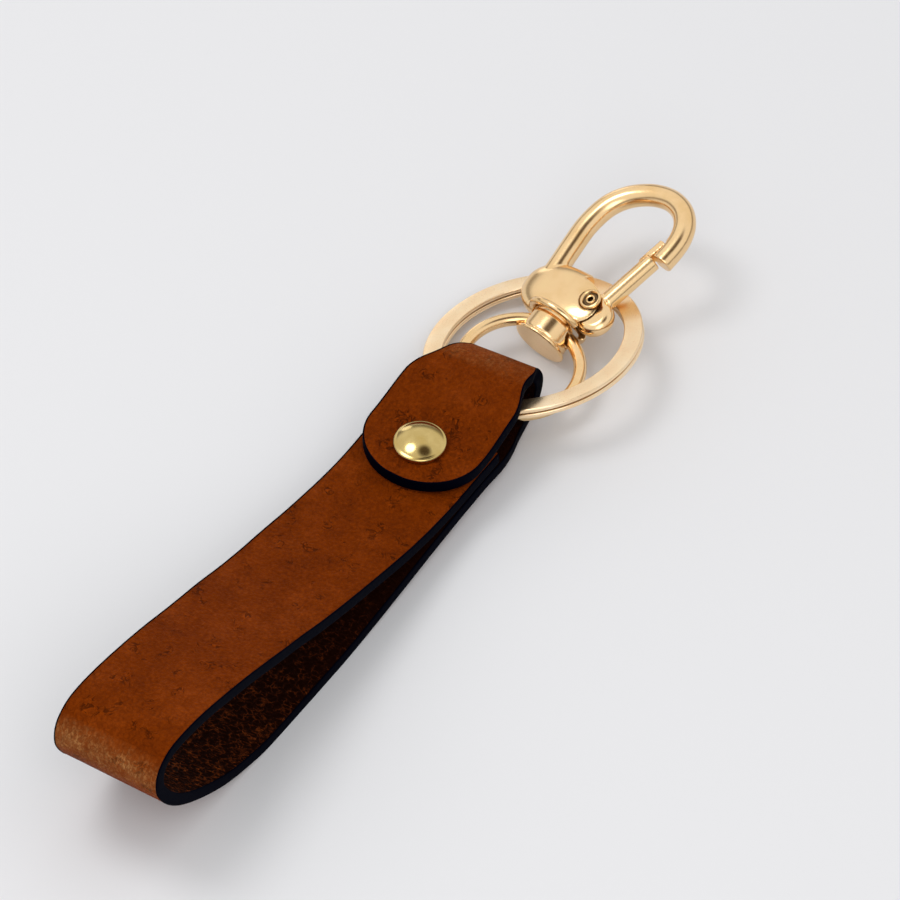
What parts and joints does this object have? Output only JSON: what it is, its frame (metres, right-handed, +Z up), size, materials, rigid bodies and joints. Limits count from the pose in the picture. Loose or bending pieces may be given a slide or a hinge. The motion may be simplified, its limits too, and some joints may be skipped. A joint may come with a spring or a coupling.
{
  "type": "leather keychain",
  "caption": "Brown leather loop keychain: strap riveted round a split ring, with a jump ring and a swivelling trigger clasp in pale gold",
  "frame": {"origin": "middle of the bounding box in plan, at its lowest point, on the table", "axes": "+X from the finger loop towards the clasp, +Z up off the table, +Y across the strap"},
  "size_m": [0.1516, 0.034, 0.0264],
  "materials": {
    "hide_brown": "waxed saddle leather with dark painted edges",
    "lining_brown": "unfinished pebbled flesh side",
    "rivet_brass": "polished yellow brass",
    "flat_gold": "steel with satin pale gold plating",
    "pale_gold": "polished pale gold plating over a zinc or brass casting",
    "spring_steel": "drawn spring wire"
  },
  "bodies": {
    "strap": {"strap_outer_hide": "hide_brown", "strap_lining": "lining_brown", "rivet_front_cap": "rivet_brass", "rivet_front_socket": "rivet_brass", "rivet_back_post": "rivet_brass", "rivet_back_cap": "rivet_brass"},
    "large_ring": {"split_ring": "flat_gold"},
    "small_ring": {"jump_ring": "pale_gold"},
    "swivel": {"swivel_eye": "pale_gold"},
    "hook": {"hook_body": "pale_gold", "gate_pin": "pale_gold", "gate_spring": "spring_steel"},
    "trigger": {"gate": "pale_gold"}
  },
  "joints": [
    {"name": "split_ring_swing", "type": "hinge", "parent": "strap", "child": "large_ring", "pos_m": [0.03057, 0.00199, 0.00622], "axis": [0, -1, 0], "range_deg": [-1.5, 10]},
    {"name": "jump_ring_swing", "type": "hinge", "parent": "strap", "child": "small_ring", "pos_m": [0.03057, 0.00199, 0.00622], "axis": [0, -1, 0], "range_deg": [-1.5, 10]},
    {"name": "clasp_tilt", "type": "hinge", "parent": "small_ring", "child": "swivel", "pos_m": [0.04791, -0.0002, 0.00588], "axis": [0.0017, -0.999, -0.0436], "range_deg": [0, 50]},
    {"name": "hook_swivel", "type": "hinge", "parent": "swivel", "child": "hook", "pos_m": [0.04791, -0.0002, 0.00588], "axis": [0.9536, -0.1002, 0.284], "range_deg": [-2, 2]},
    {"name": "gate_open", "type": "hinge", "parent": "hook", "child": "trigger", "pos_m": [0.05305, -0.00488, 0.00845], "axis": [-0.2545, 0.2358, 0.9379], "range_deg": [0, 20], "stiffness_Nm_per_rad": 0.01, "springref_deg": -20.05, "deforming": ["gate_spring"]}
  ],
  "couplings": [
    {"joint": "jump_ring_swing", "follows": "split_ring_swing", "ratio": 1}
  ]
}
